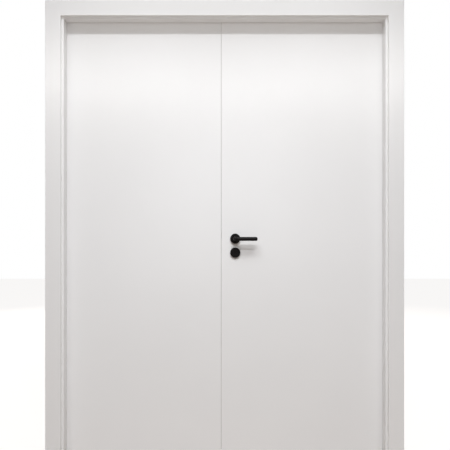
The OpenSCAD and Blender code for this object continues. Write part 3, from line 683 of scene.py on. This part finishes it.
        # A shank one metre long, scaled to the screw's own length below the head.
        shank = g.node("GeometryNodeMeshCone", sockets={
            "Vertices": self.shank_sides, "Radius Top": shank_r * self.shank_taper,
            "Radius Bottom": shank_r, "Depth": 1.0})
        step = g.node("ShaderNodeVectorMath", {"operation": "SCALE"}, {0: inward, "Scale": under})
        below = g.node("GeometryNodeSetPosition", sockets={
            "Geometry": g.given("Geometry"), "Offset": step})
        shanks = g.node("GeometryNodeInstanceOnPoints", sockets={
            "Points": below, "Instance": shank, "Rotation": facing,
            "Scale": g.vector(1.0, 1.0, length - under)})
        g.close(g.node("GeometryNodeJoinGeometry", sockets={0: [heads, shanks]}))
        return g

    def build(self, finish: bpy.types.Material) -> bpy.types.Object:
        """Makes the screws.

        Args:
            finish: Their material.

        Returns:
            The piece.
        """
        seats = [self.seat(points) for points in self.solids()]
        mesh = self.tree().bake(self.node, self.points(seats), {
            "Head Width": max(seat.width for seat in seats), "Head Height": self.head_h,
            "Shank Width": self.shank_d, "Drive Width": self.drive_w, "Drive Length": self.drive_l,
            "Drive Depth": self.drive_depth, "Seed": self.seed, "Finish": finish})
        return show("driven_" + self.node, mesh, self.body, [self.node])


@dataclass
class SeamSeal:
    """Lip seal on the passive leaf's meeting edge, which closes the gap between the leaves."""

    behind_face: float = 5.8 * MM
    foot_w: float = 3.2 * MM
    foot_t: float = 0.6 * MM
    lip_t: float = 0.7 * MM
    root_share: float = 2.4
    bend_share: float = 1.9
    tip_share: float = 1.1
    bend_at: float = 0.6
    clearance: float = 0.5 * MM
    weld: float = 0.001 * MM

    def outline(self, reach: float) -> list[tuple[float, float]]:
        """The seal's section, a foot on the leaf's edge and a lip that thins towards its tip.

        Args:
            reach: How far the lip stands out.

        Returns:
            Its corners, x out from the edge and y back from the lip's front.
        """
        bend = reach * self.bend_at
        root_t, bend_t, tip_t = (self.lip_t * share for share in (
            self.root_share, self.bend_share, self.tip_share))
        return [(0.0, 0.0), (0.0, self.foot_w), (self.foot_t, self.foot_w), (self.foot_t, root_t),
                (bend, bend_t), (reach, tip_t), (reach, 0.0), (bend, 0.0)]

    def build(self, finish: bpy.types.Material) -> bpy.types.Object:
        """Sweeps the section along the leaf's height.

        Args:
            finish: Its material.

        Returns:
            The piece.
        """
        low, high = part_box("passive_leaf_panel")
        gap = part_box("active_leaf_panel")[0].x - high.x
        start = low.y + self.behind_face
        corners = [(high.x + x, start + y, low.z) for x, y in self.outline(gap - self.clearance)]
        profile = bpy.data.meshes.new("lip_outline")
        profile.from_pydata(corners, [], [tuple(reversed(range(len(corners))))])
        g = GeometryTree("seam_seal_tree", ["Height"])
        swept = g.node("GeometryNodeExtrudeMesh", {"mode": "FACES"}, {
            "Mesh": g.given("Geometry"), "Offset": g.vector(0.0, 0.0, 1.0),
            "Offset Scale": g.given("Height")})
        base = g.node("GeometryNodeFlipFaces", sockets={0: g.given("Geometry")})
        joined = g.node("GeometryNodeJoinGeometry", sockets={0: [swept, base]})
        g.close(g.node("GeometryNodeMergeByDistance", sockets={
            "Geometry": joined, "Distance": self.weld}))
        mesh = g.bake("seam_seal", profile, {"Height": high.z - low.z, "Finish": finish})
        return show("seam_seal", mesh, "passive_leaf")


@dataclass
class KeyholeShadeShutters:
    """Black drop-shaped shutters in both key roses, dark sheets behind the keyholes that stand in
    for the shade inside the holes.
    """

    pivot_up: float = 10.0 * MM
    pivot_r: float = 4.5 * MM
    pivot_corners: int = 14
    drop_down: float = 2.5 * MM
    drop_r: float = 8.5 * MM
    drop_corners: int = 26
    plate_t: float = 0.8 * MM
    behind_cap: float = 1.6 * MM
    pin_r: float = 1.2 * MM
    pin_l: float = 1.5 * MM
    pin_corners: int = 12

    def arc(self, radius: float, up: float, angles: np.ndarray) -> list[tuple[float, float]]:
        """Points on a circle whose middle lies that far above the rose's."""
        return [(radius * math.cos(a), up + radius * math.sin(a)) for a in angles]

    def outline(self) -> list[tuple[float, float]]:
        """The drop, a small arc round the pin above a large one.

        Returns:
            Its corners, x across and z up from the middle of the rose.
        """
        tilt = math.asin((self.drop_r - self.pivot_r) / (self.pivot_up + self.drop_down))
        over = np.linspace(tilt, math.pi - tilt, self.pivot_corners)
        under = np.linspace(math.pi - tilt, FULL_TURN + tilt, self.drop_corners)
        return (self.arc(self.pivot_r, self.pivot_up, over)
                + self.arc(self.drop_r, -self.drop_down, under))

    def plate(self, form: bmesh.types.BMesh, corners: list[tuple[float, float]], middle: Vector,
              start: float, end: float) -> None:
        """Adds a flat plate with these corners between two depths.

        Args:
            form: The mesh under construction.
            corners: Its outline.
            middle: The middle of the rose.
            start: Depth of one face along y.
            end: Depth of the other.
        """
        near, far = ([form.verts.new((middle.x + x, y, middle.z + z)) for x, z in corners]
                     for y in (start, end))
        form.faces.new(near)
        form.faces.new(far[::-1])
        for i in range(len(corners)):
            j = (i + 1) % len(corners)
            form.faces.new([near[i], far[i], far[j], near[j]])

    def build(self, finish: bpy.types.Material) -> bpy.types.Object:
        """Hangs a black shutter, a dark sheet standing in for the keyhole's shade, on its pin in
        each rose.

        Args:
            finish: Their material.

        Returns:
            The piece.
        """
        form = bmesh.new()
        round_pin = np.linspace(0, FULL_TURN, self.pin_corners, endpoint=False)
        pin = self.arc(self.pin_r, self.pivot_up, round_pin)
        for side, inward in (("front", 1), ("rear", -1)):
            low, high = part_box("key_rose_" + side)
            middle = (low + high) / 2
            start = (low.y if inward > 0 else high.y) + inward * self.behind_cap
            back = start + inward * self.plate_t
            self.plate(form, self.outline(), middle, start, back)
            self.plate(form, pin, middle, back, start + inward * self.pin_l)
        bmesh.ops.recalc_face_normals(form, faces=form.faces)
        mesh = bpy.data.meshes.new("keyhole_shade_shutters")
        form.to_mesh(mesh)
        form.free()
        mesh.materials.append(finish)
        return show("keyhole_shade_shutters", mesh, "active_leaf")


@dataclass
class LatchSpring:
    """Coil spring round the latch's tail, pressed short as the lever draws the latch."""

    turns: float = 7.0
    turn_steps: int = 24
    wire_d: float = 0.9 * MM
    wire_sides: int = 10
    end_x: float = 43.5 * MM
    travel: float = 12.1 * MM

    def tree(self) -> GeometryTree:
        """The Geometry Nodes tree that winds a wire along x.

        Returns:
            The tree.
        """
        g = GeometryTree("latch_spring_tree", ["Turns", "Coil Radius", "Wire Radius", "Length"])
        path = g.node("GeometryNodeCurveSpiral", sockets={
            "Resolution": self.turn_steps, "Rotations": g.given("Turns"),
            "Start Radius": g.given("Coil Radius"), "End Radius": g.given("Coil Radius"),
            "Height": g.given("Length")})
        wire = g.node("GeometryNodeCurvePrimitiveCircle", sockets={
            "Resolution": self.wire_sides, "Radius": g.given("Wire Radius")})
        wound = g.node("GeometryNodeCurveToMesh", sockets={
            "Curve": path, "Profile Curve": wire, "Fill Caps": True})
        g.close(g.node("GeometryNodeTransform", sockets={
            "Geometry": wound, "Rotation": (0.0, math.pi / 2, 0.0)}))
        return g

    def build(self, finish: bpy.types.Material) -> bpy.types.Object:
        """Winds the spring where the CAD has it.

        Args:
            finish: Its material.

        Returns:
            The piece.
        """
        low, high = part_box("latch_spring")
        wire_r = self.wire_d / 2
        mesh = self.tree().bake("latch_spring", bpy.data.meshes.new("spring_seed"), {
            "Turns": self.turns, "Coil Radius": (high.z - low.z) / 2 - wire_r,
            "Wire Radius": wire_r, "Length": high.x - low.x - self.wire_d, "Finish": finish})
        start = (low.x + wire_r, (low.y + high.y) / 2, (low.z + high.z) / 2)
        mesh.transform(Matrix.Translation(start))
        piece = show("coiled_latch_spring", mesh, "active_leaf", ["latch_spring"])
        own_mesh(piece)
        return piece


@dataclass
class Leaves:
    """The two flush leaves."""

    skin: float = 0.6 * MM
    end: float = 0.3 * MM
    lacquer: Lacquer = Lacquer()

    def dress_one(self, node: str) -> None:
        """Lacquers one leaf, with bare board in its cuts and at its ends.

        Args:
            node: The leaf's panel.
        """
        shader = Shader(node + "_lacquer")
        low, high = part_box(node)
        x, y, z = shader.axes()
        depth = ((x - low.x) & (high.x - x)) & ((y - low.y) & (high.y - y))
        ends = (z - low.z) & (high.z - z)
        bare = (depth > self.skin) | (ends < self.end)
        dress([node], self.lacquer.coat(shader, bare))

    def build(self, rubber: bpy.types.Material) -> None:
        """Dresses both leaves and closes the gap between them.

        Args:
            rubber: Material of the seal between them.
        """
        for side in ("active", "passive"):
            self.dress_one(side + "_leaf_panel")
        SeamSeal().build(rubber)
        LOG.info("leaves dressed")


@dataclass
class Lining:
    """The lining and its casings on both sides."""

    skin: float = 0.6 * MM
    foot: float = 0.3 * MM
    stop_w: float = 12 * MM
    tongue_l: float = 11 * MM
    overlap: float = 0.2 * MM
    lacquer: Lacquer = Lacquer(bright=(0.865, 0.86, 0.858), shaded=(0.835, 0.83, 0.828))

    def dress_lining(self) -> None:
        """Lacquers jambs and head where they show and leaves backs, grooves and feet bare."""
        jamb = [corner.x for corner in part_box("jamb_right")]
        head = [corner.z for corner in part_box("head_lining")]
        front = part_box("jamb_right")[1].y
        for node in ("jamb_left", "jamb_right", "head_lining"):
            shader = Shader(node + "_lacquer")
            x, y, z = shader.axes()
            out, (opening, back) = (z, head) if node == "head_lining" else (abs(x), jamb)
            cut = (out > opening + self.stop_w + self.skin) & (abs(y) < front - self.skin)
            bare = (out > back - self.skin) | cut | (z < self.foot)
            dress([node], self.lacquer.coat(shader, bare))

    def dress_casings(self) -> None:
        """Lacquers the casings' faces and leaves their backs, tongues and feet bare."""
        for side in ("front", "rear"):
            nodes = [f"{side}_casing_{part}" for part in ("left", "right", "head")]
            shader = Shader(side + "_casing_lacquer")
            low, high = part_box(nodes[0])
            _, y, z = shader.axes()
            back = high.y - self.tongue_l if side == "front" else low.y + self.tongue_l
            covered = (y > back - self.overlap) if side == "front" else (y < back + self.overlap)
            dress(nodes, self.lacquer.coat(shader, covered | (z < self.foot)))

    def build(self, rubber: bpy.types.Material) -> None:
        """Dresses lining, casings and seals.

        Args:
            rubber: The seals' material.
        """
        self.dress_lining()
        self.dress_casings()
        dress(["seal_left", "seal_right", "seal_head"], rubber)
        LOG.info("lining dressed")


@dataclass
class Ironmongery:
    """Hinges, lock, furniture, flush bolts and their fasteners."""

    steel: BrushedSteel = BrushedSteel()
    zinc: Zinc = Zinc()
    coat: PowderCoat = PowderCoat()

    def build(self) -> None:
        """Dresses every metal node by its slot and rebuilds the fasteners with their drives."""
        finishes = {"satin_steel": self.steel.material("satin_steel"),
                    "zinc_steel": self.zinc.material("zinc_steel"),
                    "black_furniture": self.coat.material("black_furniture")}
        for part in frame["record"]["subparts"]:
            if part["material_slot"] in finishes:
                dress([part["node"]], finishes[part["material_slot"]])
        screws = [Fasteners("frame_screws", "frame"),
                  Fasteners("active_leaf_screws", "active_leaf"),
                  Fasteners("passive_leaf_screws", "passive_leaf"),
                  Fasteners("lining_screws", "frame", countersunk=False, shank_d=4.2 * MM,
                            drive_l=3.2 * MM),
                  Fasteners("grub_screws", "lever_set", Recess.HEX, countersunk=False,
                            drive_up=False, shank_d=5 * MM, head_h=3 * MM, drive_l=2.9 * MM)]
        for group in screws:
            group.build(finishes["zinc_steel"])
        # Black sheets behind the keyholes stand in for the shade inside them.
        KeyholeShadeShutters().build(finishes["black_furniture"])
        LatchSpring().build(finishes["zinc_steel"])


@dataclass(frozen=True)
class Lamp:
    """A studio lamp: where it hangs, what it points at and how strong it is."""

    name: str
    place: Point
    aim: Point
    power: float
    colour: Colour = (0.978, 1.0, 1.026)

    def source(self) -> bpy.types.Light:
        """The lamp's own light, made by each kind."""
        raise NotImplementedError

    def hang(self) -> None:
        """Hangs the lamp, out of the camera's sight, and points it."""
        light = self.source()
        light.energy = self.power
        light.color = self.colour
        lamp = bpy.data.objects.new(self.name, light)
        lamp.location = self.place
        lamp.visible_camera = False
        way = Vector(self.aim) - Vector(self.place)
        lamp.rotation_euler = way.to_track_quat("-Z", "Y").to_euler()
        bpy.context.scene.collection.objects.link(lamp)


@dataclass(frozen=True)
class Distant(Lamp):
    """A lamp so far off that its light is parallel."""

    blur: float = 1.0

    def source(self) -> bpy.types.Light:
        """Makes a sun whose disc is blur degrees wide.

        Returns:
            The light.
        """
        light = bpy.data.lights.new(self.name, "SUN")
        light.angle = math.radians(self.blur)
        return light


@dataclass(frozen=True)
class Panel(Lamp):
    """A flat lamp that is soft all over."""

    wide: float = 1.0
    high: float = 1.0

    def source(self) -> bpy.types.Light:
        """Makes a rectangle of that size.

        Returns:
            The light.
        """
        light = bpy.data.lights.new(self.name, "AREA")
        light.shape = "RECTANGLE"
        light.size, light.size_y = self.wide, self.high
        return light


@dataclass(frozen=True)
class Washer(Lamp):
    """A spot that washes a leaf with a pool of light; cone is in degrees."""

    cone: float = 90.0
    softness: float = 0.8
    radius: float = 0.3

    def source(self) -> bpy.types.Light:
        """Makes a spot with a soft edge.

        Returns:
            The light.
        """
        light = bpy.data.lights.new(self.name, "SPOT")
        light.spot_size = math.radians(self.cone)
        light.spot_blend = self.softness
        light.shadow_soft_size = self.radius
        return light


def pair(lamp: Lamp) -> tuple[Lamp, ...]:
    """Mirrors a lamp, so that each leaf has one.

    Args:
        lamp: The right lamp, without the side in its name.

    Returns:
        The left lamp and the right one.
    """
    return tuple(replace(lamp, name=side + lamp.name, place=(sign * lamp.place[0], *lamp.place[1:]),
                         aim=(sign * lamp.aim[0], *lamp.aim[1:]))
                 for side, sign in (("left_", -1.0), ("right_", 1.0)))


@dataclass
class Studio:
    """Pale floor, white surroundings, lamps and the camera."""

    lamps: tuple[Lamp, ...] = (
        Distant("high_sun", (0.0, -6.0, 7.62), (0.0, 0.0, 1.8), 0.64),
        *pair(Distant("sun", (2.47, -5.82, 7.3), (0.0, 0.0, 1.8), 0.272)),
        Panel("ceiling_strip", (0.0, -0.85, 3.3), (0.0, -0.55, 0.0), 11.5, wide=2.2, high=1.2),
        Panel("low_strip", (0.0, -0.42, 1.97), (0.0, 0.0, 1.93), 1.5, (1.01, 1.0, 0.98),
              wide=2.3, high=0.05),
        *pair(Washer("wash", (0.59, -1.50, 3.48), (0.59, -1.50, 0.0), 73.0, softness=0.35)),
        *pair(Washer("slant", (0.55, -1.90, 3.60), (0.55, 0.0, 0.9), 23.0, cone=50.0)),
        *pair(Washer("pool", (0.60, -1.45, 2.35), (0.50, 0.0, 1.70), 6.2, cone=110.0,
                     softness=1.0)),
        Panel("rear_key", (2.4, 4.6, 2.8), (0.0, 0.0, 1.4), 150.0, wide=1.2, high=1.2),
        Panel("rear_fill", (-3.4, 4.4, 1.7), (0.0, 0.0, 1.1), 95.0, wide=2.4, high=1.8),
    )
    ambient: float = 0.20
    ambient_colour: Colour = (1.05, 1.0, 0.965)
    floor_half: float = 9.0
    floor_colour: Colour = (0.37, 0.305, 0.255)
    floor_lift: float = 1.03
    floor_clouds: Spots = Spots(0.3)
    floor_rough: float = 0.8
    floor_glow: float = 1.40
    floor_share: float = 0.62
    lens: float = 46.48
    shift: float = -4 / FRAME_PX
    eye: Point = (0.0018, -2.990, 1.191)

    def floor(self) -> None:
        """Lays the floor, a warm paper that the camera sees paler than the light it gives."""
        far = self.floor_half
        mesh = bpy.data.meshes.new("floor")
        mesh.from_pydata([(-far, -far, 0), (far, -far, 0), (far, far, 0), (-far, far, 0)], [],
                         [(0, 1, 2, 3)])
        shader = Shader("floor_paper")
        paper = shader.mix(shader.noise(self.floor_clouds), self.floor_colour,
                           tuple(self.floor_lift * part for part in self.floor_colour))
        matt = shader.node("ShaderNodeBsdfPrincipled", sockets={
            "Base Color": paper, "Roughness": self.floor_rough})
        white = shader.node("ShaderNodeEmission", sockets={"Strength": self.floor_glow})
        seen = shader.node("ShaderNodeLightPath", output="Is Camera Ray")
        shown = shader.node("ShaderNodeMixShader", sockets={
            0: seen * self.floor_share, 1: matt, 2: white})
        shader.node("ShaderNodeOutputMaterial", sockets={"Surface": shown})
        mesh.materials.append(shader.material)
        floor = bpy.data.objects.new("floor", mesh)
        bpy.context.scene.collection.objects.link(floor)

    def surroundings(self) -> None:
        """White to the camera, and a soft light from all round."""
        world = bpy.data.worlds.new("studio")
        world.use_nodes = True
        bpy.context.scene.world = world
        sky = Graph(world.node_tree)
        seen = sky.node("ShaderNodeLightPath", output="Is Camera Ray")
        soft = sky.node("ShaderNodeBackground", sockets={
            "Color": opaque(self.ambient_colour), "Strength": self.ambient})
        white = sky.node("ShaderNodeBackground", sockets={
            "Color": opaque((1.0, 1.0, 1.0)), "Strength": 1.0})
        sky.node("ShaderNodeOutputWorld", sockets={
            "Surface": sky.node("ShaderNodeMixShader", sockets={0: seen, 1: soft, 2: white})})
        bpy.context.scene.view_settings.view_transform = "Standard"

    def camera(self) -> None:
        """Sets the camera at the photograph's angle, looking level."""
        lens = bpy.data.cameras.new("camera")
        lens.lens = self.lens
        lens.shift_y = self.shift
        camera = bpy.data.objects.new("camera", lens)
        camera.location = self.eye
        camera.rotation_euler = (math.pi / 2, 0.0, 0.0)
        bpy.context.scene.collection.objects.link(camera)
        bpy.context.scene.camera = camera

    def build(self) -> None:
        """Sets up the whole studio."""
        for lamp in self.lamps:
            lamp.hang()
        self.floor()
        self.surroundings()
        self.camera()
        LOG.info("studio ready, %d lamps", len(self.lamps))


def main() -> None:
    """Builds every sub-assembly's looks in order."""
    logging.basicConfig(level=logging.INFO, format="%(name)s: %(message)s")
    rubber = Rubber().material("seal_rubber")
    Lining().build(rubber)
    Leaves().build(rubber)
    Ironmongery().build()
    Studio().build()


if __name__ == "__main__":
    main()
